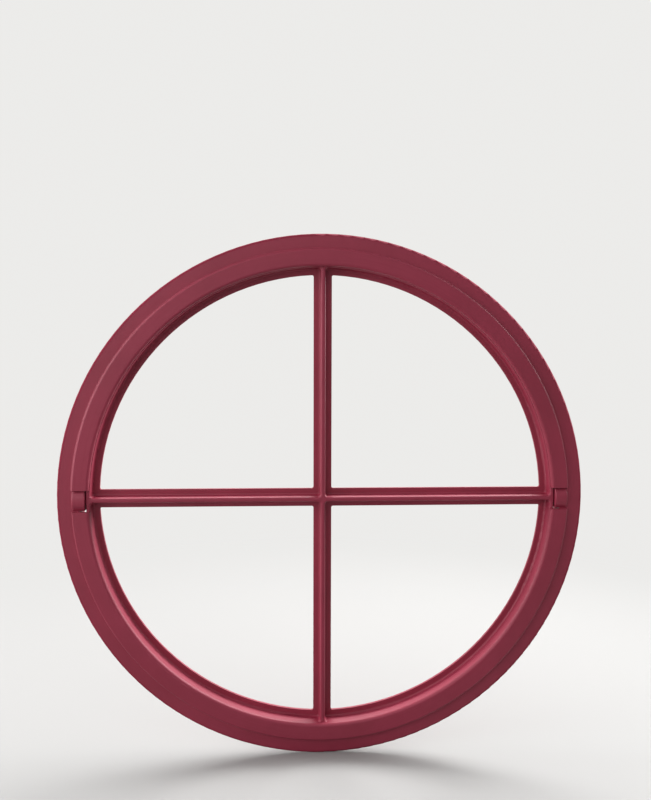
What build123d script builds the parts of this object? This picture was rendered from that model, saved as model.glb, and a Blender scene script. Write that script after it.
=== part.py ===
import os

from build123d import *

os.makedirs("parts", exist_ok=True)

# Round cast-iron window, centre-pivoted. X runs along the pivots, Y into the room and Z up.
# The origin is the ring's centre, halfway through its depth, and the outside face looks along -Y.

# Outer frame
frame_radius = 450.0
wall_flange_width = 38.0
wall_flange_thickness = 6.0
rim_wall = 8.0
frame_depth = 40.0

# Lips that lap over the joint, on the frame above the pivots and on the sash below them
lip_thickness = 7.0
lip_seat = 13.0
lip_reveal = 1.0
closing_gap = 0.3
lip_end_gap = 1.5

# Sash ring
sash_gap = 11.0
sash_wall = 6.5
seat_gap = 3.0
seat_thickness = 6.5
glazing_flange_thickness = 5.0
sash_inset = 6.0

# Glazing rebate round each pane, and the noses of the T-shaped bars between the panes
glazing_rebate = 11.5
nose_width = 8.0

# Pivots
pivot_setback = 13.0
boss_half_width = 17.0
boss_proud = 6.0
screw_radius = 4.0
screw_recess = 1.0
screw_engagement = 7.5
screw_slot_width = 1.4
screw_slot_depth = 2.0
frame_bore_clearance = 0.02
sash_bore_clearance = 0.05
end_play = 0.4
washer_radius = 9.0
washer_thickness = 1.2

# Rounded edges and fillets of the castings
flange_round = 4.0
lip_round = 3.5
lip_inner_round = 5.0
sash_lip_round = 5.5
lip_foot_fillet = 2.5
boss_round = 4.0
nose_round = 3.0
root_fillet = 3.5
pocket_corner_round = 5.0
pane_corner_round = 3.0
edge_break = 1.0

# Radii worked out from the sizes above
rim_inner = frame_radius - wall_flange_width
rim_outer = rim_inner + rim_wall
lip_outer = rim_inner + lip_seat
sash_outer = rim_inner - sash_gap
sash_inner = sash_outer - sash_wall
seat_outer = rim_inner - seat_gap
frame_lip_inner = sash_inner + lip_reveal
opening_radius = sash_inner - glazing_rebate
bar_width = nose_width + 2 * glazing_rebate

# Depths worked out from the sizes above
lip_front = -frame_depth / 2
rim_back = frame_depth / 2
flange_front = lip_front + lip_thickness
flange_middle = flange_front + wall_flange_thickness / 2
flange_back = flange_front + wall_flange_thickness
sash_front = flange_front + closing_gap
sash_back = rim_back - sash_inset
glazing_front = sash_back - glazing_flange_thickness
ring_root = sash_front + nose_round + edge_break

# The pivot axis, and the height where both lips end
pivot_depth = flange_front + pivot_setback
lip_end_height = boss_half_width + lip_end_gap
boss_inner = sash_outer + end_play + washer_thickness
screw_inner = sash_outer - screw_engagement
screw_outer = rim_outer - screw_recess


# Finds the corner of a section nearest to a place in its sketch.
def corner(sketch, across, along):
    return sketch.vertices().sort_by_distance((across, along, 0))[0]


# Ring sections are drawn with the radius along X and the depth along Y, and revolved about Y.
# The wall flange with the deep rim behind it, which goes into the masonry.
with BuildPart() as frame_ring:
    with BuildSketch(Plane.XY) as frame_section:
        with BuildLine():
            Polyline(
                (rim_inner, flange_front),
                (frame_radius, flange_front),
                (frame_radius, flange_back),
                (rim_outer, flange_back),
                (rim_outer, rim_back),
                (rim_inner, rim_back),
                close=True,
            )
        make_face()
        fillet(corner(frame_section, frame_radius, flange_front), flange_round)
        chamfer(corner(frame_section, frame_radius, flange_back), edge_break)
        fillet(corner(frame_section, rim_outer, flange_back), root_fillet)
        chamfer(corner(frame_section, rim_outer, rim_back), edge_break)
        chamfer(corner(frame_section, rim_inner, rim_back), edge_break)
    revolve(axis=Axis.Y)

# The frame's proud lip covers the sash above the pivots and runs into the flange with a fillet at its foot.
with BuildPart() as frame_lip:
    with BuildSketch(Plane.XY) as frame_lip_section:
        with BuildLine():
            Polyline(
                (frame_lip_inner, lip_front),
                (lip_outer, lip_front),
                (lip_outer, flange_front),
                (lip_outer + 2 * lip_foot_fillet, flange_front),
                (lip_outer + 2 * lip_foot_fillet, flange_middle),
                (rim_inner, flange_middle),
                (rim_inner, flange_front),
                (frame_lip_inner, flange_front),
                close=True,
            )
        make_face()
        fillet(corner(frame_lip_section, lip_outer, lip_front), lip_round)
        fillet(corner(frame_lip_section, frame_lip_inner, lip_front), lip_inner_round)
        fillet(corner(frame_lip_section, lip_outer, flange_front), lip_foot_fillet)
    revolve(axis=Axis.Y)
    split(bisect_by=Plane.XY.offset(lip_end_height), keep=Keep.TOP)

# A trunnion boss on each side: a barrel round the pivot axis with straight flanks in front,
# whose shallow crown stands proud of the flange.
with BuildPart() as boss_barrel:
    with BuildSketch(Plane.YZ.offset(boss_inner)):
        with Locations((pivot_depth, 0)):
            Circle(boss_half_width)
        with Locations((pivot_depth - pivot_setback / 2, 0)):
            Rectangle(pivot_setback, 2 * boss_half_width)
    extrude(amount=rim_inner + rim_wall / 2 - boss_inner)
    chamfer(boss_barrel.faces().sort_by(Axis.X)[0].edges(), edge_break)

with BuildPart() as boss_front:
    with BuildSketch(Plane.YZ.offset(boss_inner)):
        with Locations((pivot_depth, 0)):
            Circle(boss_half_width)
        with Locations((pivot_depth - pivot_setback / 2, 0)):
            Rectangle(pivot_setback, 2 * boss_half_width)
        with BuildLine():
            ThreePointArc((flange_front, -boss_half_width), (flange_front - boss_proud, 0),
                          (flange_front, boss_half_width))
            Line((flange_front, boss_half_width), (flange_front, -boss_half_width))
        make_face()
    extrude(amount=lip_outer - boss_inner)
    chamfer(boss_front.faces().sort_by(Axis.X)[0].edges(), edge_break)
    fillet(boss_front.faces().sort_by(Axis.X)[-1].edges(), boss_round)
    split(bisect_by=Plane.XZ.offset(-flange_middle), keep=Keep.TOP)

with BuildPart() as trunnion:
    add(boss_barrel.part)
    add(boss_front.part)

with BuildPart() as outer_frame:
    add(frame_ring.part)
    add(frame_lip.part)
    add(trunnion.part)
    add(mirror(trunnion.part, about=Plane.YZ, mode=Mode.PRIVATE))
    with BuildSketch(Plane.YZ.offset(-rim_outer - edge_break)):
        with Locations((pivot_depth, 0)):
            Circle(screw_radius + frame_bore_clearance)
    extrude(amount=2 * (rim_outer + edge_break), mode=Mode.SUBTRACT)

outer_frame.part.label = "outer_frame"
export_step(outer_frame.part, "parts/outer_frame.step")


# The sash's ring and crossed bars: a disc with a blind hole at each side for the end of the pivot screw,
# a rebated pocket for each pane, and the pane's opening in the pocket's floor.
with BuildPart() as sash_body:
    with BuildSketch(Plane.XZ.offset(-sash_front)):
        Circle(sash_outer)
    extrude(amount=sash_front - sash_back)
    for side in (-1, 1):
        with BuildSketch(Plane.YZ.offset(side * (screw_inner - end_play))):
            with Locations((pivot_depth, 0)):
                Circle(screw_radius + sash_bore_clearance)
        extrude(amount=side * (screw_engagement + sash_gap / 2), mode=Mode.SUBTRACT)
    with BuildSketch(Plane.XZ.offset(-sash_front)) as pockets:
        Circle(sash_inner)
        Rectangle(nose_width, 2 * sash_inner, mode=Mode.SUBTRACT)
        Rectangle(2 * sash_inner, nose_width, mode=Mode.SUBTRACT)
        fillet(pockets.vertices(), pocket_corner_round)
    extrude(amount=sash_front - glazing_front, mode=Mode.SUBTRACT)
    flat_faces = sash_body.faces().filter_by(Axis.Y).group_by(Axis.Y)
    fillet(flat_faces[-2].edges(), root_fillet)
    fillet(flat_faces[0].edges().sort_by(SortBy.LENGTH)[:-1], nose_round)
    with BuildSketch(Plane.XZ.offset(-glazing_front)) as panes:
        Circle(opening_radius)
        Rectangle(bar_width, 2 * sash_inner, mode=Mode.SUBTRACT)
        Rectangle(2 * sash_inner, bar_width, mode=Mode.SUBTRACT)
        fillet(panes.vertices(), pane_corner_round)
    extrude(amount=-glazing_flange_thickness, mode=Mode.SUBTRACT)
    chamfer(sash_body.edges().filter_by(GeomType.CIRCLE).sort_by(SortBy.RADIUS)[-2:], edge_break)

# Above the pivots the wall has a seating flange, which closes against the back of the frame's lip.
with BuildPart() as seat_flange:
    with BuildSketch(Plane.XY) as seat_section:
        with BuildLine():
            Polyline(
                (sash_inner, sash_front),
                (seat_outer, sash_front),
                (seat_outer, sash_front + seat_thickness),
                (sash_outer, sash_front + seat_thickness),
                (sash_outer, sash_front + seat_thickness + sash_wall),
                (sash_inner + sash_wall / 2, sash_front + seat_thickness + sash_wall),
                (sash_inner + sash_wall / 2, ring_root),
                (sash_inner, ring_root),
                close=True,
            )
        make_face()
        chamfer(corner(seat_section, sash_inner, sash_front), edge_break / 2)
        chamfer(corner(seat_section, seat_outer, sash_front), edge_break)
        chamfer(corner(seat_section, seat_outer, sash_front + seat_thickness), edge_break)
        fillet(corner(seat_section, sash_outer, sash_front + seat_thickness), root_fillet / 2)
    revolve(axis=Axis.Y)
    split(bisect_by=Plane.XY.offset(lip_end_height), keep=Keep.TOP)

# Below the pivots the wall runs out into the sash's proud lip, which closes on the frame's flange.
with BuildPart() as sash_lip:
    with BuildSketch(Plane.XY) as sash_lip_section:
        with BuildLine():
            Polyline(
                (sash_inner, lip_front),
                (lip_outer, lip_front),
                (lip_outer, flange_front - closing_gap),
                (sash_outer, flange_front - closing_gap),
                (sash_outer, ring_root),
                (sash_inner, ring_root),
                close=True,
            )
        make_face()
        fillet(corner(sash_lip_section, sash_inner, lip_front), sash_lip_round)
        fillet(corner(sash_lip_section, lip_outer, lip_front), lip_round)
        chamfer(corner(sash_lip_section, lip_outer, flange_front - closing_gap), edge_break)
    revolve(axis=Axis.Y)
    split(bisect_by=Plane.XY.offset(-lip_end_height), keep=Keep.BOTTOM)

# The whole sash, one casting.
with BuildPart() as sash:
    add(sash_body.part)
    add(seat_flange.part)
    add(sash_lip.part)

sash.part.label = "sash"
export_step(sash.part, "parts/sash.step")


# A headless steel screw is the pivot on each side. It goes in from the rim, whose face covers its slot.
with BuildPart() as pivot_screw_right:
    with BuildSketch(Plane.YZ.offset(screw_inner)):
        with Locations((pivot_depth, 0)):
            Circle(screw_radius)
    extrude(amount=screw_outer - screw_inner)
    chamfer(pivot_screw_right.edges().filter_by(GeomType.CIRCLE), edge_break / 2)
    with BuildSketch(Plane.YZ.offset(screw_outer)):
        with Locations((pivot_depth, 0)):
            Rectangle(screw_slot_width, 2 * screw_radius + edge_break)
    extrude(amount=-screw_slot_depth, mode=Mode.SUBTRACT)

pivot_screw_right.part.label = "pivot_screw_right"
export_step(pivot_screw_right.part, "parts/pivot_screw_right.step")

with BuildPart() as pivot_screw_left:
    mirror(pivot_screw_right.part, about=Plane.YZ)

pivot_screw_left.part.label = "pivot_screw_left"
export_step(pivot_screw_left.part, "parts/pivot_screw_left.step")

# A brass washer lies against the inner end of each boss and keeps the sash off the casting.
with BuildPart() as pivot_washer_right:
    with BuildSketch(Plane.YZ.offset(boss_inner)):
        with Locations((pivot_depth, 0)):
            Circle(washer_radius)
            Circle(screw_radius + sash_bore_clearance, mode=Mode.SUBTRACT)
    extrude(amount=-washer_thickness)

pivot_washer_right.part.label = "pivot_washer_right"
export_step(pivot_washer_right.part, "parts/pivot_washer_right.step")

with BuildPart() as pivot_washer_left:
    mirror(pivot_washer_right.part, about=Plane.YZ)

pivot_washer_left.part.label = "pivot_washer_left"
export_step(pivot_washer_left.part, "parts/pivot_washer_left.step")
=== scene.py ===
import math

import bpy
import numpy as np
from mathutils import Matrix, Vector


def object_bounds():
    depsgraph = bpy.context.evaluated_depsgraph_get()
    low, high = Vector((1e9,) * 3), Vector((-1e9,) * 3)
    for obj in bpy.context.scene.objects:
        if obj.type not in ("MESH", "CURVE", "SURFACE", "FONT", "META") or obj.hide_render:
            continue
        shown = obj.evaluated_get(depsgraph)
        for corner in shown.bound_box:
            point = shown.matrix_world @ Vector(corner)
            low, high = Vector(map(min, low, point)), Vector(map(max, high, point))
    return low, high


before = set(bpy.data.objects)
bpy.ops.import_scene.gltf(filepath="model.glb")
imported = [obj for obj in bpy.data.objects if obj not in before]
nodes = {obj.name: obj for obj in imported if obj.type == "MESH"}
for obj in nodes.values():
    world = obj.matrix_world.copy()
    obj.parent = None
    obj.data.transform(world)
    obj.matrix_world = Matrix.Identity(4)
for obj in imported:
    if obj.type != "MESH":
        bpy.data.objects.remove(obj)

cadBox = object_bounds()
outerRadius = cadBox[1][0]
floorHeight = cadBox[0][2]
print("frame loaded,", len(nodes), "nodes")


# Puts a plain value or another node's output into an input.
def feed(tree, slot, value):
    if isinstance(value, bpy.types.NodeSocket):
        tree.links.new(value, slot)
    else:
        slot.default_value = value


# Adds a node to a tree. Numbered inputs are written in0, in1 and so on.
def addNode(tree, kind, settings=None, **inputs):
    node = tree.nodes.new(kind)
    for key, value in (settings or {}).items():
        setattr(node, key, value)
    for key, value in inputs.items():
        numbered = key.startswith("in") and key[2:].isdigit()
        feed(tree, node.inputs[int(key[2:]) if numbered else key], value)
    return node


def maths(tree, operation, first, second=0.0):
    return addNode(tree, "ShaderNodeMath", {"operation": operation}, in0=first, in1=second).outputs[0]


def multiply(tree, first, second):
    return maths(tree, "MULTIPLY", first, second)


# Distance from an axis, as the root of the sum of two squares.
def fromAxis(tree, first, second):
    squares = maths(tree, "ADD", multiply(tree, first, first), multiply(tree, second, second))
    return maths(tree, "SQRT", squares)


def mixed(tree, kind, factor, first, second):
    mix = addNode(tree, "ShaderNodeMix", {"data_type": kind}, Factor=factor, A=first, B=second)
    return mix.outputs["Result"]


def mixColours(tree, factor, first, second):
    return mixed(tree, "RGBA", factor, first, second)


# A smooth step of a value from 0 at low to 1 at high.
def ramp(tree, value, low, high):
    return addNode(tree, "ShaderNodeMapRange", {"interpolation_type": "SMOOTHSTEP"}, Value=value,
                   **{"From Min": low, "From Max": high, "To Min": 0.0, "To Max": 1.0}).outputs["Result"]


# A straight change from first to second while a value goes from low to high.
def spread(tree, value, first, second, low=0.0, high=1.0):
    return addNode(tree, "ShaderNodeMapRange", None, Value=value,
                   **{"From Min": low, "From Max": high, "To Min": first, "To Max": second}).outputs["Result"]


# A noise pattern. Its scale is per unit of place, which is a metre in plain Object coordinates.
def noise(tree, place, scale, detail, roughness=0.5, settings=None, **more):
    return addNode(tree, "ShaderNodeTexNoise", settings, Vector=place, Scale=scale, Detail=detail,
                   Roughness=roughness, **more).outputs["Fac"]


# Raises a surface by a height pattern. A bump is its strength and its height in metres.
def raised(tree, height, bump, **normal):
    strength, distance = bump
    return addNode(tree, "ShaderNodeBump", None, Strength=strength, Distance=distance, Height=height,
                   **normal).outputs["Normal"]


def newMaterial(name):
    material = bpy.data.materials.new(name)
    material.use_nodes = True
    tree = material.node_tree
    tree.nodes.clear()
    output = tree.nodes.new("ShaderNodeOutputMaterial")
    shader = tree.nodes.new("ShaderNodeBsdfPrincipled")
    tree.links.new(shader.outputs[0], output.inputs["Surface"])
    return material, tree, shader


primer = {
    "deepTint": (0.255, 0.0165, 0.0420, 1),
    "paleTint": (0.305, 0.0220, 0.0540, 1),
    "patchNoise": (7.0, 5.0, 0.6),    # patches of the two tints: scale, detail and roughness
    "patchRange": (0.32, 0.68),
    "streakTint": (0.262, 0.0185, 0.0460, 1),
    "streakShare": 0.45,
    "streakRange": (0.45, 0.72),
    "streakNoise": (1.0, 3.0, 0.55),
    "streakAcross": 420.0,            # brush hairs, per metre across the stroke
    "streakAlong": 7.0,               # and along it
    "ringStart": 0.384,               # inside this radius the strokes follow the bars
    "ringMiddle": 0.42,               # at this radius strokes round the ring are as long as on the bars
    "leastRadius": 0.001,             # keeps the division by the radius sound at the centre
    "barHalf": 0.0165,                # half the height of the level bar, and a little more
    "barShift": 3.7,                  # keep the strokes on the two bars unlike each other
    "postShift": -5.1,
    # Painted highlight along the edges: its paler tint and how much of it is mixed in.
    "edgeHighlightTint": (0.380, 0.0450, 0.0850, 1),
    "edgeRadius": 0.0007,             # rounding of the edges in the shading alone
    "edgeSamples": 6,
    "edgeRange": (0.01, 0.25),        # how far the normal turns, as 1 minus the cosine
    "edgeHighlightShare": 0.12,
    "roughLow": 0.48,
    "roughHigh": 0.60,
    "roughRange": (0.3, 0.7),
    "streakGloss": 0.6,               # shares of the brush strokes and the orange peel in the gloss
    "peelGloss": 0.4,
    "rimBand": 0.005,                 # this far in from the outer edge the paint starts to turn dull
    "rimFade": 0.0015,                # and over this width it gets there
    "rimRough": 0.95,
    "castNoise": (55.0, 3.0),         # slow undulation of the sand casting
    "castBump": (0.35, 0.0010),
    "streakBump": (0.22, 0.0002),
    "peelNoise": (520.0, 2.0),        # orange peel in the paint
    "peelBump": (0.22, 0.0002),
    "grainNoise": (1700.0, 2.0),      # fine sand grain that shows through
    "grainBump": (0.12, 0.00008),
}


# Coordinates that run along the brush stroke: round the ring outside ringStart, and along each bar inside it.
# Round the ring the place along the stroke is the unit direction from the centre, which has no seam.
def strokeSpace(tree, place):
    x, y, z = addNode(tree, "ShaderNodeSeparateXYZ", None, Vector=place).outputs
    radius = fromAxis(tree, x, z)
    divisor = maths(tree, "MAXIMUM", radius, primer["leastRadius"])
    along, across = primer["streakAlong"], primer["streakAcross"]
    ringAlong = along * primer["ringMiddle"]

    def strokes(first, second, third):
        return addNode(tree, "ShaderNodeCombineXYZ", None, X=first, Y=second, Z=third).outputs[0]

    sideways = multiply(tree, maths(tree, "DIVIDE", x, divisor), ringAlong)
    upwards = multiply(tree, maths(tree, "DIVIDE", z, divisor), ringAlong)
    ring = strokes(sideways, upwards, multiply(tree, radius, across))
    bar = strokes(multiply(tree, x, along), primer["barShift"], multiply(tree, z, across))
    post = strokes(multiply(tree, z, along), primer["postShift"], multiply(tree, x, across))
    onBar = maths(tree, "LESS_THAN", maths(tree, "ABSOLUTE", z), primer["barHalf"])
    onRing = maths(tree, "GREATER_THAN", radius, primer["ringStart"])
    stroke = mixed(tree, "VECTOR", onRing, mixed(tree, "VECTOR", onBar, post, bar), ring)
    return stroke, multiply(tree, y, across), radius


# Satin red oxide primer on a sand casting: patches and brush strokes in the colour and the gloss, cast
# undulation, orange peel and grain in the surface, and edges that are a little round, with a painted highlight
# that makes them a little paler.
def primerPaint():
    material, tree, shader = newMaterial("redOxidePrimer")
    place = addNode(tree, "ShaderNodeTexCoord").outputs["Object"]
    stroke, depth, radius = strokeSpace(tree, place)
    patches = noise(tree, place, *primer["patchNoise"])
    streaks = noise(tree, stroke, *primer["streakNoise"], {"noise_dimensions": "4D"}, W=depth)
    cast = noise(tree, place, *primer["castNoise"])
    peel = noise(tree, place, *primer["peelNoise"])
    grain = noise(tree, place, *primer["grainNoise"])

    rounded = addNode(tree, "ShaderNodeBevel", {"samples": primer["edgeSamples"]},
                      Radius=primer["edgeRadius"]).outputs["Normal"]
    facet = addNode(tree, "ShaderNodeNewGeometry").outputs["Normal"]
    facing = addNode(tree, "ShaderNodeVectorMath", {"operation": "DOT_PRODUCT"}, in0=rounded,
                     in1=facet).outputs["Value"]
    edge = ramp(tree, maths(tree, "SUBTRACT", 1.0, facing), *primer["edgeRange"])
    patched = ramp(tree, patches, *primer["patchRange"])
    streaked = ramp(tree, streaks, *primer["streakRange"])

    tint = mixColours(tree, patched, primer["deepTint"], primer["paleTint"])
    tint = mixColours(tree, multiply(tree, streaked, primer["streakShare"]), tint, primer["streakTint"])
    # Painted highlight: where the rounded normal turns away from the facet's, the edge gets a paler tint.
    tint = mixColours(tree, multiply(tree, edge, primer["edgeHighlightShare"]), tint, primer["edgeHighlightTint"])
    tree.links.new(tint, shader.inputs["Base Color"])

    gloss = maths(tree, "ADD", multiply(tree, streaks, primer["streakGloss"]),
                  multiply(tree, peel, primer["peelGloss"]))
    rough = spread(tree, gloss, primer["roughLow"], primer["roughHigh"], *primer["roughRange"])
    rimStart = outerRadius - primer["rimBand"]
    rough = spread(tree, radius, rough, primer["rimRough"], rimStart, rimStart + primer["rimFade"])
    tree.links.new(rough, shader.inputs["Roughness"])

    normal = rounded
    for height, bump in ((cast, "castBump"), (streaks, "streakBump"), (peel, "peelBump"),
                         (grain, "grainBump")):
        normal = raised(tree, height, primer[bump], Normal=normal)
    tree.links.new(normal, shader.inputs["Normal"])
    return material


turned = {
    "steel": (0.56, 0.56, 0.57),
    "steelRough": 0.32,
    "brass": (0.75, 0.55, 0.27),
    "brassRough": 0.28,
    "grooveScale": 3200.0,            # per metre
    "grooveNoise": (1.0, 2.0),
    "grooveBump": (0.3, 0.00003),
    "stainNoise": (240.0, 4.0),
    "stainRange": (0.4, 0.7),
    "stainShade": 0.72,               # a stain's brightness against the clean metal's
    "overspray": 0.0084,              # paint covers what lies farther from the pivot axis than this
    "oversprayFade": 0.0004,
}


# Turned metal: fine grooves round the pivot axis, worked out from the distance to it and the place along it.
def turnedMetal(name, colour, roughness):
    material, tree, shader = newMaterial(name)
    place = addNode(tree, "ShaderNodeTexCoord").outputs["Object"]
    x, y, z = addNode(tree, "ShaderNodeSeparateXYZ", None, Vector=place).outputs
    radius = fromAxis(tree, y, z)
    lathe = addNode(tree, "ShaderNodeCombineXYZ", None, X=multiply(tree, radius, turned["grooveScale"]),
                    Y=multiply(tree, x, turned["grooveScale"])).outputs[0]
    grooves = noise(tree, lathe, *turned["grooveNoise"])
    stained = ramp(tree, noise(tree, place, *turned["stainNoise"]), *turned["stainRange"])
    dull = tuple(turned["stainShade"] * value for value in colour)
    tint = mixColours(tree, stained, (*colour, 1), (*dull, 1))
    painted = ramp(tree, radius, turned["overspray"], turned["overspray"] + turned["oversprayFade"])
    tree.links.new(mixColours(tree, painted, tint, primer["deepTint"]), shader.inputs["Base Color"])
    tree.links.new(maths(tree, "SUBTRACT", 1.0, painted), shader.inputs["Metallic"])
    tree.links.new(spread(tree, painted, roughness, primer["roughHigh"]), shader.inputs["Roughness"])
    tree.links.new(raised(tree, grooves, turned["grooveBump"]), shader.inputs["Normal"])
    return material


primerMaterial = primerPaint()
steel = turnedMetal("turnedSteel", turned["steel"], turned["steelRough"])
brass = turnedMetal("turnedBrass", turned["brass"], turned["brassRough"])


def finishOf(nodeName):
    if "screw" in nodeName:
        return steel
    if "washer" in nodeName:
        return brass
    return primerMaterial


for nodeName, piece in nodes.items():
    piece.data.materials.clear()
    piece.data.materials.append(finishOf(nodeName))
print("materials done")


studio = {
    "floorSize": 12.0,
    "backdropDistance": 4.0,
    "backdropHeight": 7.0,
    "bend": 1.6,
    "bendRows": 24,
    "floorColour": (0.40, 0.396, 0.39, 1),       # as the camera and glossy rays see it
    "bounceColour": (0.18, 0.178, 0.175, 1),     # as it lights the object
    "floorRough": 0.9,
    "floorShine": 0.1,
    "paleTone": (0.84, 0.835, 0.82, 1),
    "floorNear": 0.35,                # out to here the floor is plain and takes the shadow
    "floorFar": 1.5,                  # from here on it shows the even pale tone
    "toneRise": 0.9,                  # and so does the backdrop from this height up
}


# 1 for what the camera sees, straight, in a reflection or through glass, and 0 for what only lights the object.
def seenByEye(tree):
    path = addNode(tree, "ShaderNodeLightPath").outputs
    turnedAside = maths(tree, "MAXIMUM", path["Is Glossy Ray"], path["Is Transmission Ray"])
    return maths(tree, "MAXIMUM", path["Is Camera Ray"], turnedAside)


# Near the object the floor is plain. Farther out and higher up it turns into the even pale tone.
def paleFloor():
    material, tree, shader = newMaterial("paleFloor")
    surface = shader.outputs[0].links[0].to_socket
    seen = seenByEye(tree)
    tint = mixColours(tree, seen, studio["bounceColour"], studio["floorColour"])
    tree.links.new(tint, shader.inputs["Base Color"])
    shader.inputs["Roughness"].default_value = studio["floorRough"]
    shader.inputs["Specular IOR Level"].default_value = studio["floorShine"]
    place = addNode(tree, "ShaderNodeTexCoord").outputs["Object"]
    x, y, height = addNode(tree, "ShaderNodeSeparateXYZ", None, Vector=place).outputs
    upper = ramp(tree, height, floorHeight, floorHeight + studio["toneRise"])
    outer = ramp(tree, fromAxis(tree, x, y), studio["floorNear"], studio["floorFar"])
    share = multiply(tree, maths(tree, "MAXIMUM", upper, outer), seen)
    tone = addNode(tree, "ShaderNodeEmission", None, Color=studio["paleTone"], Strength=1.0).outputs[0]
    mix = addNode(tree, "ShaderNodeMixShader", None, in0=share, in1=shader.outputs[0], in2=tone)
    tree.links.new(mix.outputs[0], surface)
    return material


# Floor and backdrop in one sweep: flat, then a quarter circle, then upright. In the quarter circle the depth
# grows with the sine of the angle and the height with one minus its cosine.
def backdrop():
    bend = studio["bend"]
    turn = np.linspace(0, math.pi / 2, studio["bendRows"])
    depth = np.concatenate([[-studio["floorSize"]], studio["backdropDistance"] + bend * np.sin(turn),
                            [studio["backdropDistance"] + bend]])
    rise = np.concatenate([[0], bend * (1 - np.cos(turn)), [studio["backdropHeight"]]])
    across = np.array([-studio["floorSize"], studio["floorSize"]])
    grid = np.stack([np.repeat(across[None], len(depth), 0), np.repeat(depth[:, None], 2, 1),
                     np.repeat(floorHeight + rise[:, None], 2, 1)], -1).reshape(-1, 3)
    faces = np.arange(len(depth) - 1)[:, None] * 2 + np.array([[0, 1, 3, 2]])
    mesh = bpy.data.meshes.new("backdrop")
    mesh.from_pydata(grid.tolist(), [], faces.tolist())
    mesh.polygons.foreach_set("use_smooth", np.ones(len(faces), bool))
    mesh.materials.append(paleFloor())
    sweep = bpy.data.objects.new("backdrop", mesh)
    bpy.context.scene.collection.objects.link(sweep)


backdrop()
print("floor and backdrop done")


# Places and sizes in metres, power in watts.
lamps = {
    "skyBack": {"place": (0.7, 2.5, 3.0), "size": (4.4, 1.8), "power": 226},
    "backLeft": {"place": (-2.6, 1.3, 1.3), "size": (2.4, 2.2), "power": 32},
    "sideLeft": {"place": (-2.8, -0.5, 0.9), "size": (3.0, 2.4), "power": 78},
    "backRight": {"place": (2.65, 1.25, 1.55), "size": (2.8, 2.6), "power": 166},
    "frontLeft": {"place": (-1.6, -3.0, 1.1), "size": (2.2, 1.8), "power": 22},
    "highFront": {"place": (-0.6, -2.4, 2.4), "size": (3.4, 2.2), "power": 14},
}


# A broad soft lamp that looks at the middle of the window.
def areaLight(name, place, size, power):
    data = bpy.data.lights.new(name, "AREA")
    data.shape = "RECTANGLE"
    data.size, data.size_y = size
    data.energy = power
    lamp = bpy.data.objects.new(name, data)
    lamp.location = place
    lamp.rotation_euler = (-Vector(place)).to_track_quat("-Z", "Y").to_euler()
    bpy.context.scene.collection.objects.link(lamp)


for name, values in lamps.items():
    areaLight(name, **values)


sky = {
    "colour": (0.97, 0.985, 1.0, 1),
    "reflected": 0.84,                # as the camera and glossy rays see it
    "diffuse": 0.15,                  # as it lights the object
}


# An even sky that shows brighter in reflections than it lights.
def softSky():
    world = bpy.data.worlds.new("softSky")
    world.use_nodes = True
    tree = world.node_tree
    background = tree.nodes["Background"]
    strength = spread(tree, seenByEye(tree), sky["diffuse"], sky["reflected"])
    tree.links.new(strength, background.inputs["Strength"])
    background.inputs["Color"].default_value = sky["colour"]
    bpy.context.scene.world = world


softSky()
print("light done")


view = {
    "place": (-0.05924, -1.35643, 0.27157),
    "yaw": 0.04703,                   # in radians, like the next two
    "pitch": -0.07477,
    "roll": -0.00232,
    "focalPixels": 794.85,
    "frameHeight": 800,
    "sensorHeight": 24.0,
}


# The camera looks along +Y at zero angles. Yaw turns it to the right, pitch upwards and roll about its axis.
def camera():
    data = bpy.data.cameras.new("camera")
    data.sensor_fit = "VERTICAL"
    data.sensor_height = view["sensorHeight"]
    data.lens = view["focalPixels"] / view["frameHeight"] * view["sensorHeight"]
    eye = bpy.data.objects.new("camera", data)
    bpy.context.scene.collection.objects.link(eye)
    turn = (Matrix.Rotation(-view["yaw"], 4, "Z") @ Matrix.Rotation(math.pi / 2 + view["pitch"], 4, "X")
            @ Matrix.Rotation(-view["roll"], 4, "Z"))
    eye.matrix_world = Matrix.Translation(view["place"]) @ turn
    bpy.context.scene.camera = eye


camera()
bpy.context.scene.view_settings.view_transform = "Standard"
print("camera done")
